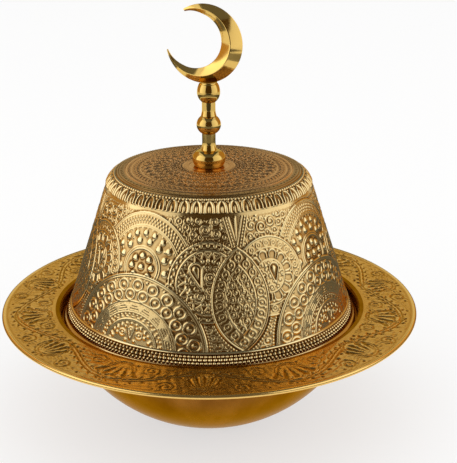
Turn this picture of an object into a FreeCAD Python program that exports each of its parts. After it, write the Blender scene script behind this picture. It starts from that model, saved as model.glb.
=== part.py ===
import FreeCAD, Part
import math
import os

# Covered serving dish: a round flanged dish, a tall lift-off lid and a crescent finial on the lid.
# Millimetres, +Z up. The origin is the centre of the flat base that the dish stands on.

# Dish
dish_diameter = 140.0
dish_height = 39.4
bowl_radius = 54.0
bowl_wall = 1.8
base_radius = 16.0
flange_thickness = 1.0
lip_swell = 0.15
well_wall = 0.9
mouth_round = 0.7

# Step in the dish's mouth that the lid stands on
seat_depth = 4.0
ledge_width = 3.8
ledge_thickness = 1.6
ledge_slope = 3.5

# Lid
foot_clearance = 0.9
foot_bead_radius = 0.9
lid_wall = 1.2
wall_foot_step = 1.6
wall_foot_rise = 2.7
wall_lean = 17.8
lid_height = 51.1
shoulder_round = 6.5
top_crown = 0.9
pad_rise = 0.1
pad_margin = 0.4

# Raised rings on the lid: a ridge above the foot band, and a rope ring round the flat top
ridge_height = 6.1
ridge_radius = 0.7
ridge_proud = 0.4
rope_angle = 59.5
rope_radius = 0.6
rope_proud = 0.45

# Finial stack, from the lid's top upwards
dome_radius = 5.45
dome_tuck = 0.7
dome_widest_height = 2.5
dome_height = 5.3
neck_radius = 2.2
neck_flare = 0.35
lower_neck_height = 5.45
lower_ball_radius = 3.98
lower_ball_height = 5.86
upper_neck_height = 4.58
upper_ball_radius = 3.75
upper_ball_widest_height = 3.1
upper_ball_height = 5.85
collar_step = 0.65
collar_height = 1.0
collar_waist = 0.3

# Stud and the fasteners inside the lid
stud_radius = 1.25
bore_clearance = 0.15
thread_clearance = 0.05
washer_radius = 3.2
washer_thickness = 0.5
lock_washer_radius = 2.4
lock_washer_thickness = 0.7
lock_washer_gap = 0.6
nut_across_flats = 5.0
nut_thickness = 2.0
stud_tail = 1.2

# Crescent: its width is the belly's opposite the opening and would shrink to the horn's at the opening.
# Both faces rise to a crest. Angles are counted from +X, about the centre of the outer circle.
crescent_radius = 12.7
crescent_belly = 7.24
crescent_horn = 0.46
crescent_opening = 163.7
crescent_lower_tip = -169.2
crescent_upper_tip = 122.1
crescent_sideways = -1.38
crescent_sink = 0.06
crescent_turn = -16.0
crest_share = 0.36
tip_share = 0.55
tip_taper_share = 0.12
crescent_sections = 25
solder_clearance = 0.05

# One overrun for every cut
overrun = 2.0

axis_start = FreeCAD.Vector(0, 0, 0)
axis_up = FreeCAD.Vector(0, 0, 1)


# Outline helpers: a point is (radius, height) in the half section that is turned about Z
def spot(point):
    return FreeCAD.Vector(point[0], 0, point[1])


def line(start, end):
    return Part.LineSegment(spot(start), spot(end)).toShape()


def lines(*points):
    return [line(start, end) for start, end in zip(points, points[1:])]


def on_circle(centre, radius, angle):
    turn = math.radians(angle)
    return (centre[0] + radius * math.cos(turn), centre[1] + radius * math.sin(turn))


def arc(centre, radius, start_angle, end_angle):
    middle_angle = (start_angle + end_angle) / 2
    points = [spot(on_circle(centre, radius, angle)) for angle in (start_angle, middle_angle, end_angle)]
    return Part.Arc(*points).toShape()


def angle_to(centre, point):
    return math.degrees(math.atan2(point[1] - centre[1], point[0] - centre[0]))


# Arc that stands upright at its widest point and ends at another point
def swell(end, widest):
    inward = widest[0] - end[0]
    radius = (inward**2 + (widest[1] - end[1])**2) / (2 * inward)
    centre = (widest[0] - radius, widest[1])
    return arc(centre, radius, angle_to(centre, end), angle_to(centre, widest))


def turned(edges):
    outline = Part.Wire(Part.__sortEdges__(edges))
    return Part.Face(outline).revolve(axis_start, axis_up, 360)


def cylinder(radius, bottom, top):
    return Part.makeCylinder(radius, top - bottom, FreeCAD.Vector(0, 0, bottom))


def torus(ring_radius, tube_radius, height):
    return Part.makeTorus(ring_radius, tube_radius, FreeCAD.Vector(0, 0, height))


# Heights and radii that several pieces share
seat_height = dish_height - seat_depth
bowl_centre = (0, math.sqrt(bowl_radius**2 - base_radius**2))


def bowl_edge(radius, height):
    return (math.sqrt(radius**2 - (bowl_centre[1] - height)**2), height)


well_radius = bowl_edge(bowl_radius, seat_height)[0] - well_wall
foot_radius = well_radius - foot_clearance
lid_top = seat_height + lid_height
finial_height = lid_top + top_crown + pad_rise
lid_inside_top = lid_top - lid_wall
bore_radius = stud_radius + bore_clearance
thread_radius = stud_radius + thread_clearance
dome_foot_radius = dome_radius - dome_tuck
collar_radius = upper_ball_radius - collar_step


def serving_dish():
    flange_top = dish_height - lip_swell
    flange_under = flange_top - flange_thickness
    under_corner = bowl_edge(bowl_radius, flange_under)
    lip_radius = flange_thickness / 2 + lip_swell
    lip_centre = (dish_diameter / 2 - lip_radius, dish_height - lip_radius)
    lip_angle = 180 - math.degrees(math.asin(flange_thickness / 2 / lip_radius))
    mouth_centre = (well_radius + mouth_round, flange_top - mouth_round)
    ledge_radius = well_radius - ledge_width
    inner_radius = bowl_radius - bowl_wall
    inner_top = bowl_edge(inner_radius, seat_height - ledge_thickness - ledge_slope)
    floor_edge = bowl_edge(inner_radius, bowl_wall)

    edges = lines((0, 0), (base_radius, 0))
    base_angle = angle_to(bowl_centre, (base_radius, 0))
    edges.append(arc(bowl_centre, bowl_radius, base_angle, angle_to(bowl_centre, under_corner)))
    edges.append(line(under_corner, on_circle(lip_centre, lip_radius, -lip_angle)))
    edges.append(arc(lip_centre, lip_radius, -lip_angle, lip_angle))
    edges.append(line(on_circle(lip_centre, lip_radius, lip_angle), (mouth_centre[0], flange_top)))
    edges.append(arc(mouth_centre, mouth_round, 90, 180))
    edges += lines(
        (well_radius, mouth_centre[1]),
        (well_radius, seat_height),
        (ledge_radius, seat_height),
        (ledge_radius, seat_height - ledge_thickness),
        inner_top,
    )
    inner_angles = (angle_to(bowl_centre, inner_top), angle_to(bowl_centre, floor_edge))
    edges.append(arc(bowl_centre, inner_radius, *inner_angles))
    edges += lines(floor_edge, (0, bowl_wall), (0, 0))
    return turned(edges)


def lid_shell():
    lean = math.radians(wall_lean)
    wall_foot = (foot_radius - wall_foot_step, seat_height + wall_foot_rise)
    inside_step = lid_wall / math.cos(lean)

    def wall_radius(height):
        return wall_foot[0] - (height - wall_foot[1]) * math.tan(lean)

    # The shoulder's round touches the wall and the plane of the flat top
    shoulder_height = lid_top - shoulder_round
    shoulder_centre = (wall_radius(shoulder_height) - shoulder_round / math.cos(lean), shoulder_height)
    shoulder_start = on_circle(shoulder_centre, shoulder_round, wall_lean)
    inner_round = shoulder_round - lid_wall
    inner_start = on_circle(shoulder_centre, inner_round, wall_lean)
    bead_centre = (foot_radius - foot_bead_radius, seat_height + foot_bead_radius)
    pad_radius = dome_foot_radius + pad_margin
    crown_edge = (shoulder_centre[0], lid_top)
    pad_edge = (pad_radius, lid_top + top_crown)
    crown_run = crown_edge[0] - pad_radius
    crown_radius = (crown_run**2 + top_crown**2) / (2 * top_crown)
    crown_centre = (pad_radius, pad_edge[1] - crown_radius)

    edges = lines((wall_radius(seat_height) - inside_step, seat_height), (bead_centre[0], seat_height))
    edges.append(arc(bead_centre, foot_bead_radius, -90, 90))
    edges += lines((bead_centre[0], seat_height + 2 * foot_bead_radius), wall_foot, shoulder_start)
    edges.append(arc(shoulder_centre, shoulder_round, wall_lean, 90))
    edges.append(arc(crown_centre, crown_radius, angle_to(crown_centre, crown_edge), 90))
    edges += lines(pad_edge, (pad_radius, finial_height), (bore_radius, finial_height))
    edges += lines((bore_radius, finial_height), (bore_radius, lid_inside_top))
    edges += lines((bore_radius, lid_inside_top), (shoulder_centre[0], lid_inside_top))
    edges.append(arc(shoulder_centre, inner_round, 90, wall_lean))
    edges += lines(inner_start, (wall_radius(seat_height) - inside_step, seat_height))
    shell = turned(edges)

    ridge_at = seat_height + ridge_height
    ridge = torus(wall_radius(ridge_at) + ridge_proud - ridge_radius, ridge_radius, ridge_at)
    rope_centre = on_circle(shoulder_centre, shoulder_round + rope_proud - rope_radius, rope_angle)
    rope = torus(rope_centre[0], rope_radius, rope_centre[1])
    return shell.fuse([ridge, rope]).removeSplitter()


def finial_base_dome(bottom):
    top = bottom + dome_height
    widest = (dome_radius, bottom + dome_widest_height)
    crown = (neck_radius + neck_flare, top)
    edges = lines((bore_radius, bottom), (dome_foot_radius, bottom))
    edges.append(swell((dome_foot_radius, bottom), widest))
    edges.append(swell(crown, widest))
    edges += lines(crown, (bore_radius, top), (bore_radius, bottom))
    return turned(edges)


def neck(bottom, height):
    top = bottom + height
    foot = (neck_radius + neck_flare, bottom)
    waist = (neck_radius, bottom + height / 2)
    edges = lines((bore_radius, bottom), foot, waist, (neck_radius, top), (bore_radius, top))
    edges += lines((bore_radius, top), (bore_radius, bottom))
    return turned(edges)


def ball(bottom, height, widest_height, widest_radius, top_radius):
    top = bottom + height
    widest = (widest_radius, bottom + widest_height)
    edges = lines((bore_radius, bottom), (neck_radius, bottom))
    edges.append(swell((neck_radius, bottom), widest))
    edges.append(swell((top_radius, top), widest))
    edges += lines((top_radius, top), (bore_radius, top), (bore_radius, bottom))
    return turned(edges)


# Turned stud: the waisted collar under the crescent is its head
def finial_stud(collar_bottom, tail_bottom):
    collar_top = collar_bottom + collar_height
    waist = (collar_radius - collar_waist, collar_bottom + collar_height / 2)
    edges = lines((0, tail_bottom), (stud_radius, tail_bottom), (stud_radius, collar_bottom))
    edges += lines((stud_radius, collar_bottom), (collar_radius, collar_bottom), waist)
    edges += lines(waist, (collar_radius, collar_top), (0, collar_top), (0, tail_bottom))
    return turned(edges)


def flat_washer(top):
    bottom = top - washer_thickness
    return cylinder(washer_radius, bottom, top).cut(cylinder(bore_radius, bottom - overrun, top + overrun))


def lock_washer(top):
    bottom = top - lock_washer_thickness
    ring = cylinder(lock_washer_radius, bottom, top)
    ring = ring.cut(cylinder(bore_radius, bottom - overrun, top + overrun))
    split_corner = FreeCAD.Vector(0, -lock_washer_gap / 2, bottom - overrun)
    split_length = lock_washer_radius + overrun
    split_height = lock_washer_thickness + 2 * overrun
    return ring.cut(Part.makeBox(split_length, lock_washer_gap, split_height, split_corner))


def hex_nut(top):
    bottom = top - nut_thickness
    corner_radius = nut_across_flats / 2 / math.cos(math.radians(30))
    corners = []
    for step in range(7):
        turn = math.radians(60 * step)
        corners.append(FreeCAD.Vector(corner_radius * math.cos(turn), corner_radius * math.sin(turn), bottom))
    prism = Part.Face(Part.makePolygon(corners)).extrude(FreeCAD.Vector(0, 0, nut_thickness))
    return prism.cut(cylinder(thread_radius, bottom - overrun, top + overrun))


# One diamond section of the crescent, in the plane X-Z about the centre of the outer circle
def crescent_section(share):
    angle = math.radians(crescent_lower_tip + share * (crescent_upper_tip - crescent_lower_tip))
    from_opening = angle - math.radians(crescent_opening)
    inner_radius = crescent_radius - (crescent_belly + crescent_horn) / 2
    inner_offset = (crescent_belly - crescent_horn) / 2
    across = inner_offset * math.sin(from_opening)
    inner_edge = inner_offset * math.cos(from_opening) + math.sqrt(inner_radius**2 - across**2)
    tip_distance = min(share, 1 - share) / tip_taper_share
    taper = min(1, tip_share + (1 - tip_share) * math.sin(math.radians(90 * min(1, tip_distance))))
    width = (crescent_radius - inner_edge) * taper
    crest = crest_share * width
    corners = []
    for inset, side in ((0, 0), (width / 2, -crest), (width, 0), (width / 2, crest), (0, 0)):
        reach = crescent_radius - inset
        corners.append(FreeCAD.Vector(reach * math.cos(angle), side, reach * math.sin(angle)))
    return Part.makePolygon(corners)


def crescent(collar_bottom):
    wires = [crescent_section(step / (crescent_sections - 1)) for step in range(crescent_sections)]
    body = Part.makeLoft(wires, True, False)
    body.translate(FreeCAD.Vector(crescent_sideways, 0, collar_bottom + crescent_sink + crescent_radius))
    body.rotate(axis_start, axis_up, crescent_turn)
    collar_top = collar_bottom + collar_height
    return body.cut(cylinder(collar_radius + solder_clearance, collar_bottom - overrun, collar_top))


# Stack the pieces from the lid's top up to the crescent, and from the lid's top down to the nut
lower_neck_bottom = finial_height + dome_height
lower_ball_bottom = lower_neck_bottom + lower_neck_height
upper_neck_bottom = lower_ball_bottom + lower_ball_height
upper_ball_bottom = upper_neck_bottom + upper_neck_height
collar_bottom = upper_ball_bottom + upper_ball_height
lock_washer_top = lid_inside_top - washer_thickness
nut_top = lock_washer_top - lock_washer_thickness
tail_bottom = nut_top - nut_thickness - stud_tail

pieces = {
    "serving_dish": serving_dish(),
    "lid_shell": lid_shell(),
    "finial_base_dome": finial_base_dome(finial_height),
    "finial_lower_neck": neck(lower_neck_bottom, lower_neck_height),
    "finial_lower_ball": ball(
        lower_ball_bottom, lower_ball_height, lower_ball_height / 2, lower_ball_radius, neck_radius
    ),
    "finial_upper_neck": neck(upper_neck_bottom, upper_neck_height),
    "finial_upper_ball": ball(
        upper_ball_bottom, upper_ball_height, upper_ball_widest_height, upper_ball_radius, collar_radius
    ),
    "finial_stud": finial_stud(collar_bottom, tail_bottom),
    "crescent": crescent(collar_bottom),
    "flat_washer": flat_washer(lid_inside_top),
    "lock_washer": lock_washer(lock_washer_top),
    "hex_nut": hex_nut(nut_top),
}

os.makedirs("parts", exist_ok=True)
for name, shape in pieces.items():
    shape.exportStep("parts/" + name + ".step")
    box = shape.BoundBox
    print(name, shape.isValid(), len(shape.Solids), round(shape.Volume, 1),
          "z", round(box.ZMin, 2), round(box.ZMax, 2), "r", round(box.XMax, 2))
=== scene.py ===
import bpy
from math import asin, atan2, copysign, cos, degrees, pi, radians, sin, sqrt, tan
import numpy as np
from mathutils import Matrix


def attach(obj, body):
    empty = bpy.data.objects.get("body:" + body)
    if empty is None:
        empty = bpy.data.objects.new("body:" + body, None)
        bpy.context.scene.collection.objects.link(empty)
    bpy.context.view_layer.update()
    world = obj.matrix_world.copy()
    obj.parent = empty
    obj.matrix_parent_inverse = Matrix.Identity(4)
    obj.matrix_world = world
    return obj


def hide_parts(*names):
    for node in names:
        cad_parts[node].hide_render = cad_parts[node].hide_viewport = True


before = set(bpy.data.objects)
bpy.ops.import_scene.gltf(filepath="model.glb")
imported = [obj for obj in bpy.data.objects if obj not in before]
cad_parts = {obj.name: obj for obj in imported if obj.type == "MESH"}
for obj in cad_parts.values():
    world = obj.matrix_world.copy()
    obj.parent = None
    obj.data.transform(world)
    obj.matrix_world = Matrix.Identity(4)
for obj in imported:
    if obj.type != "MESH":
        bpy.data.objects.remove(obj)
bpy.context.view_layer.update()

# Values that several pieces share. Sizes are in millimetres, apart from the studio's metres.
mm = 0.001
fullTurn = 2 * pi
axisGap = 0.02
levelTone = 0.5


# Helpers for the scene

def deselectAll():
    if bpy.context.object and bpy.context.object.mode != "OBJECT":
        bpy.ops.object.mode_set(mode="OBJECT")
    bpy.ops.object.select_all(action="DESELECT")


# Screen colour from 0 to 255, as the shader wants it
def paint(red, green, blue):
    shares = [value / 255 for value in (red, green, blue)]
    return tuple(s / 12.92 if s <= 0.04045 else ((s + 0.055) / 1.055)**2.4 for s in shares) + (1.0,)


def settle(piece, body, nodeName, finish):
    piece.data.materials.clear()
    piece.data.materials.append(finish)
    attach(piece, body)
    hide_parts(nodeName)


# Runs mesh steps in edit mode, each on the whole mesh
def editAll(*steps):
    bpy.ops.object.mode_set(mode="EDIT")
    for step, choices in steps:
        bpy.ops.mesh.select_all(action="SELECT")
        step(**choices)
    bpy.ops.object.mode_set(mode="OBJECT")


# Step that joins points in one place, with its reach in metres
weld = (bpy.ops.mesh.remove_doubles, dict(threshold=1e-7))


# Names the object just added, and moves its vertices to points in millimetres
def shapeNew(name, points):
    piece = bpy.context.object
    piece.name = name
    piece.data.name = name
    piece.data.vertices.foreach_set("co", (points * mm).astype(np.float32).ravel())
    return piece


# A grid bent to rows of points. Its last row meets its first, and its last column meets its first too,
# or its two ends are capped. The corner rows stay sharp.
def bentGrid(name, points, cornerRows=(), ring=True, tone=None):
    rows, columns = points.shape[:2]
    deselectAll()
    bpy.ops.mesh.primitive_grid_add(x_subdivisions=columns - 1, y_subdivisions=rows - 1, size=1)
    piece = shapeNew(name, points)
    mesh = piece.data
    mesh.uv_layers[0].name = "OFBake"
    if tone is not None:
        shade = mesh.attributes.new("tone", "FLOAT", "POINT")
        shade.data.foreach_set("value", tone.astype(np.float32).ravel())
    ends = np.empty(len(mesh.edges) * 2, dtype=np.int32)
    mesh.edges.foreach_get("vertices", ends)
    ends = ends.reshape(-1, 2)
    edgeRows = ends // columns
    edgeColumns = ends % columns
    sharp = (edgeRows[:, 0] == edgeRows[:, 1]) & np.isin(edgeRows[:, 0], list(cornerRows))
    if not ring:
        sameColumn = edgeColumns[:, 0] == edgeColumns[:, 1]
        sharp |= sameColumn & np.isin(edgeColumns[:, 0], [0, columns - 1])
    crease = mesh.attributes.new("sharp_edge", "BOOLEAN", "EDGE")
    crease.data.foreach_set("value", sharp)
    caps = [] if ring else [(bpy.ops.mesh.fill_holes, dict(sides=0))]
    editAll(weld, *caps)
    bpy.ops.object.shade_smooth(keep_sharp_edges=True)
    return piece


# A closed outline of (radius, height) points spun about the middle
def spunPiece(name, outline, steps, sharpAngle=35):
    deselectAll()
    bpy.ops.mesh.primitive_circle_add(vertices=len(outline), radius=mm, fill_type="NOTHING")
    piece = shapeNew(name, np.array([(radius, 0, height) for radius, height in outline]))
    spin = dict(steps=steps, angle=fullTurn, center=(0, 0, 0), axis=(0, 0, 1))
    editAll((bpy.ops.mesh.spin, spin), weld, (bpy.ops.mesh.normals_make_consistent, dict(inside=False)))
    bpy.ops.object.shade_smooth_by_angle(angle=radians(sharpAngle))
    return piece


# Points along an arc in the half section, from one angle to another
def arcSpots(centre, radius, startAngle, endAngle, count):
    turns = np.radians(np.linspace(startAngle, endAngle, count))
    return [(centre[0] + radius * cos(turn), centre[1] + radius * sin(turn)) for turn in turns]


# Arc from an end to its widest point, where it stands upright
def swellSpots(end, widest, count):
    inward = widest[0] - end[0]
    radius = (inward**2 + (widest[1] - end[1])**2) / (2 * inward)
    centre = (widest[0] - radius, widest[1])
    endAngle = degrees(atan2(end[1] - centre[1], end[0] - centre[0]))
    return arcSpots(centre, radius, endAngle, 0, count)


# Points round the axis: angle 0 is the front, and angles grow towards +X
def roundAxis(radius, angle, height):
    return np.stack([radius * np.sin(angle), -radius * np.cos(angle), height], axis=-1)


# Relief on the outline of a half section, carried round by the angles. Plain points at its back close it.
def reliefGrid(name, outline, normals, height, back, tone, angle, ring=True, corners=None):
    rows, columns = height.shape
    rear = np.array(back, dtype=float).reshape(-1, 2)
    sides = []
    for side in (0, 1):
        face = outline[:, side, None] + normals[:, side, None] * height
        sides.append(np.vstack([face, np.repeat(rear[:, side, None], columns, axis=1), face[:1]]))
    if tone is not None:
        tone = np.vstack([tone, np.full((len(rear), columns), levelTone), tone[:1]])
    last = rows + len(rear)
    corners = corners or (0, rows - 1, rows, last - 1, last)
    return bentGrid(name, roundAxis(sides[0], angle, sides[1]), corners, ring, tone)


# A piece of relief on the shell of the lid
def lidRelief(finish, *grid):
    settle(reliefGrid(*grid), "lid", "lid_shell", finish)


# Helpers for relief. A dome or ball is 1 in its middle and 0 at its reach.

def dome(distance, reach):
    return np.clip(1 - (distance / reach)**2, 0, 1)


def ball(distance, reach):
    return np.sqrt(dome(distance, reach))


# Signed distance from the nearest whole number
def wrapped(turn):
    return turn - np.round(turn)


# Place beside the nearest of so many spots on a ring
def ringSpots(rho, phi, at, count, phase=0):
    step = fullTurn / count
    return wrapped(phi / step - phase) * step * at, rho - at


# A deep dish with a round rim and a bead in its middle
def eye(distance, reach):
    share = distance / reach
    rim = 0.95 * dome(share - 0.76, 0.22) - 0.4
    bead = 1.1 * ball(share, 0.4) - 0.6
    return np.maximum(np.maximum(rim, bead), -0.5)


# Distance outside a drop, with its round end at the origin and its point at the length above
def dropEdge(x, y, roundReach, pointReach, length):
    slope = (roundReach - pointReach) / length
    side = sqrt(1 - slope**2)
    x = np.abs(x)
    along = -slope * x + side * y
    body = side * x + slope * y - roundReach
    edge = np.where(along > side * length, np.hypot(x, y - length) - pointReach, body)
    return np.where(along < 0, np.hypot(x, y) - roundReach, edge)


# Coil of a scroll: a ridge that winds in from its rim
def coil(x, y, reach, pitch, start, hand=1):
    rho = np.hypot(x, y)
    turn = rho / pitch - hand * np.arctan2(y, x) / fullTurn - start
    return np.where(rho < reach, dome(wrapped(turn) * pitch, 0.3 * pitch), 0)


# Close rows of small coils that turn both ways, with a bead in each gap
def curlField(x, y, pitch):
    relief = np.zeros_like(x)
    nearest = np.full_like(x, np.inf)
    lane = 1.732 * pitch
    for shift, hand in ((0, 1), (0.5, -1)):
        spotX = wrapped(x / pitch - shift) * pitch
        spotY = wrapped(y / lane - shift) * lane
        away = np.hypot(spotX, spotY)
        curl = coil(spotX, spotY, 0.5 * pitch, 0.3 * pitch, 0.15, hand)
        curl = np.maximum(curl, 1.1 * ball(away, 0.15 * pitch))
        relief = np.where(away < nearest, curl, relief)
        nearest = np.minimum(nearest, away)
    return np.maximum(relief, 0.8 * ball(0.6 * pitch - nearest, 0.085 * pitch))


# Concentric bands of ornament. Ridges stand on what they cross, the rest takes its place.
def bandRelief(rho, phi, bands):
    height = np.zeros_like(rho)
    for kind, at, count, reach, rise, *phase in bands:
        if kind == "ridge":
            height = np.maximum(height, rise * dome(rho - at, reach))
            continue
        along, across = ringSpots(rho, phi, at, count, *phase)
        away = np.hypot(along, across)
        inside = away < reach
        if kind == "beads":
            layer = ball(away, reach)
        elif kind == "pearls":
            layer = np.where(away < 0.84 * reach, ball(away, 0.84 * reach), -0.3)
        elif kind in ("bars", "dashes"):
            halfLength, halfWidth = (0.4, reach) if kind == "bars" else (reach, 0.32)
            share = np.hypot(along / halfLength, across / halfWidth)
            inside = share < 1
            layer = ball(share, 1)
        elif kind == "arches":
            spread = np.where(across > 0, away, np.abs(along))
            inside = (spread < reach) & (across > -0.8 * reach)
            layer = np.where(spread < 0.62 * reach, -0.6, dome(spread - 0.81 * reach, 0.19 * reach))
        elif kind == "petals":
            slant = np.abs(along) - 0.22 * fullTurn * at / count * (1 + across / reach)
            inside = np.abs(across) < reach
            layer = np.maximum(dome(slant, 0.26), 0.9 * dome(slant + 0.85, 0.24)) - 0.3
        elif kind == "blocks":
            cell = along * count / (fullTurn * at)
            lift = across / reach
            studs = np.hypot(wrapped(9 * cell), wrapped(1.5 * lift))
            inside = np.abs(lift) < 1
            layer = np.where(np.abs(cell) < 0.3 - 0.16 * lift, ball(studs, 0.46), 0.6)
        else:
            layer = eye(away, reach)
        height = np.where(inside, rise * layer, height)
    return height


# Mean of the values within a reach along one axis
def meanAlong(field, axis, reach, mode="edge"):
    width = [(0, 0), (0, 0)]
    width[axis] = (reach + 1, reach)
    total = np.cumsum(np.pad(field, width, mode=mode), axis=axis)
    span = 2 * reach + 1
    size = field.shape[axis]
    upper = np.take(total, range(span, span + size), axis=axis)
    return (upper - np.take(total, range(size), axis=axis)) / span


# One pass of light smoothing both ways
def soften(field):
    for axis in (0, 1):
        field = 0.25 * field + 0.75 * meanAlong(field, axis, 1)
    return field


def boxBlur(field, reach, wrap):
    return meanAlong(meanAlong(field, 0, reach), 1, reach, "wrap" if wrap else "edge")


# How far a point stands out from what is round it: 0 deep, 0.5 level, 1 proud. Deep points go dark as
# patina, and proud points go pale as a painted highlight.
def toneOf(height, wrap=True, near=3, far=9, gain=2.6):
    local = height - boxBlur(height, near, wrap)
    broad = height - boxBlur(height, far, wrap)
    return np.clip(levelTone + gain * (0.5 * local + 0.5 * broad), 0, 1)


# Helpers for finishes

def newFinish(name):
    finish = bpy.data.materials.new(name)
    finish.use_nodes = True
    return finish, finish.node_tree, finish.node_tree.nodes["Principled BSDF"]


# An input takes a link from another node's output, or else a value
def feed(tree, node, inputs):
    for name, value in inputs.items():
        if isinstance(value, bpy.types.NodeSocket):
            tree.links.new(value, node.inputs[name])
        else:
            node.inputs[name].default_value = value


def addNode(tree, kind, inputs):
    node = tree.nodes.new("ShaderNode" + kind)
    feed(tree, node, inputs)
    return node


def mathOf(tree, operation, first, second):
    node = addNode(tree, "Math", {0: first, 1: second})
    node.operation = operation
    return node.outputs["Value"]


def rampOf(tree, source, stops):
    ramp = addNode(tree, "ValToRGB", {"Fac": source})
    marks = ramp.color_ramp.elements
    while len(marks) < len(stops):
        marks.new(0.5)
    for mark, (place, *colour) in zip(marks, stops):
        mark.position = place
        mark.color = paint(*colour)
    return ramp.outputs["Color"]


def noiseOf(tree, look, scale, detail, roughness):
    place = addNode(tree, "TexCoord", {})
    stretch = look.get("stretch", (1, 1, 1))
    mapping = addNode(tree, "Mapping", {"Vector": place.outputs["Object"], "Scale": stretch})
    noise = addNode(tree, "TexNoise", {
        "Vector": mapping.outputs["Vector"], "Scale": scale, "Detail": detail, "Roughness": roughness})
    return noise.outputs["Fac"]


def spanOf(tree, source, fromLow, fromHigh, toLow, toHigh):
    span = addNode(tree, "MapRange", {
        "Value": source, "From Min": fromLow, "From Max": fromHigh, "To Min": toLow, "To Max": toHigh})
    return span.outputs["Result"]


def metalShader(tree, shader, look, colour, gloss, detail, roughness):
    scale, strength, depth = look["grain"]
    grain = noiseOf(tree, look, scale, detail, roughness)
    bump = addNode(tree, "Bump", {"Strength": strength, "Distance": depth * mm, "Height": grain})
    feed(tree, shader, {
        "Base Color": colour, "Roughness": gloss, "Normal": bump.outputs["Normal"],
        "Metallic": 1.0, "Specular Tint": look["tint"]})


# Metal with dark patina left in the hollows of its ornament, and its proud parts painted pale as a highlight
def ornamentMetal(name, look):
    finish, tree, shader = newFinish(name)
    tone = addNode(tree, "Attribute", {})
    tone.attribute_name = "tone"
    scale, shift = look["cloud"]
    cloud = spanOf(tree, noiseOf(tree, look, scale, 3, 0.5), 0.3, 0.7, -shift, shift)
    level = mathOf(tree, "ADD", tone.outputs["Fac"], cloud)
    gloss = spanOf(tree, level, 0.2, 0.8, *look["rough"])
    metalShader(tree, shader, look, rampOf(tree, level, look["stops"]), gloss, 4, 0.6)
    return finish


# Smooth metal with soft clouds in its colour and gloss
def plainMetal(name, look):
    finish, tree, shader = newFinish(name)
    cloud = noiseOf(tree, look, look["cloud"], 4, 0.55)
    gloss = spanOf(tree, cloud, 0.3, 0.7, *look["rough"])
    metalShader(tree, shader, look, rampOf(tree, cloud, look["stops"]), gloss, 3, 0.5)
    return finish


# Finishes. Stops: place and screen colour. Cloud: scale, and shift of the tone. Rough: from deep to proud,
# or across the cloud. Grain: scale, strength, depth.
# In the ornament finishes the low stops are the patina in the hollows, and the pale top stops are painted
# highlight on proud parts
chasedGold = ornamentMetal("chasedGold", dict(
    stops=[(0.02, 64, 36, 10), (0.26, 148, 108, 56), (0.46, 208, 178, 120), (0.85, 238, 218, 164)],
    tint=(1.0, 0.88, 0.64, 1), cloud=(70, 0.03), rough=(0.26, 0.1), grain=(2600, 0.2, 0.01)))
topGold = ornamentMetal("topGold", dict(
    stops=[(0.05, 104, 66, 30), (0.4, 192, 144, 92), (0.6, 218, 174, 120), (0.9, 238, 206, 158)],
    tint=(1.0, 0.8, 0.52, 1), cloud=(70, 0.04), rough=(0.3, 0.2), grain=(2600, 0.2, 0.02)))
engravedGold = ornamentMetal("engravedGold", dict(
    stops=[(0.05, 104, 68, 26), (0.3, 160, 112, 44), (0.5, 214, 162, 84), (0.8, 244, 202, 120)],
    tint=(1.0, 0.76, 0.4, 1), cloud=(60, 0.05), rough=(0.34, 0.15), grain=(700, 0.3, 0.04)))
dishGold = plainMetal("dishGold", dict(
    stops=[(0.3, 120, 73, 32), (0.7, 160, 107, 50)],
    tint=(1.0, 0.72, 0.36, 1), cloud=90, stretch=(1, 1, 0.3), rough=(0.2, 0.3), grain=(320, 0.55, 0.09)))
polishedLook = dict(tint=(1.0, 0.82, 0.46, 1), cloud=120, rough=(0.09, 0.13), grain=(900, 0.1, 0.01))
polishedGold = plainMetal("polishedGold", dict(
    polishedLook, stops=[(0.3, 224, 184, 98), (0.7, 232, 194, 110)]))
# A darker copy of the polished gold for the finial's turned pieces and stud: painted shade
shadedTurnedGold = plainMetal("shadedTurnedGold", dict(
    polishedLook, stops=[(0.3, 202, 166, 88), (0.7, 210, 176, 100)]))
fastenerSteel = plainMetal("fastenerSteel", dict(
    stops=[(0.3, 150, 148, 144), (0.7, 186, 184, 178)],
    tint=(1, 1, 1, 1), cloud=500, rough=(0.25, 0.4), grain=(2500, 0.2, 0.01)))
print("finishes ready")


# Lid wall: the ornament repeats four times round it
lidWall = dict(
    footRadius=48.12, footHeight=38.1, lean=17.8, thickness=1.2, seat=35.4, ridgeHeight=41.5, startRise=0.6,
    endRise=42.45, unitStart=-32.4, units=4, columns=431, rows=221, ground=-0.42, reliefShare=0.55,
    toneGain=1.5, groove=0.2, grooveGap=0.12, grooveReach=0.25, chainGap=0.8, chainReach=0.42,
    chainPitch=1.0, chainWidth=1.35, chainTop=30, curlPitch=2.7, curlRise=0.4, curlRadius=40,
    slimFoot=32.2, slimSpread=0.24, plainFrom=41.1, plainFade=0.4, plainLift=0.12)


def wallRadius(height):
    return lidWall["footRadius"] - (height - lidWall["footHeight"]) * tan(radians(lidWall["lean"]))


# Points of the wall at distances up it from the ridge, and the way out from it
def wallOutline(rise):
    lean = radians(lidWall["lean"])
    level = rise * cos(lean) + lidWall["ridgeHeight"]
    return np.stack([wallRadius(level), level], axis=-1), np.array([cos(lean), sin(lean)])


# The same spots left and right
def bothSides(spots):
    return [(kind, side * across, *shape) for kind, across, *shape in spots for side in (-1, 1)]


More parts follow.
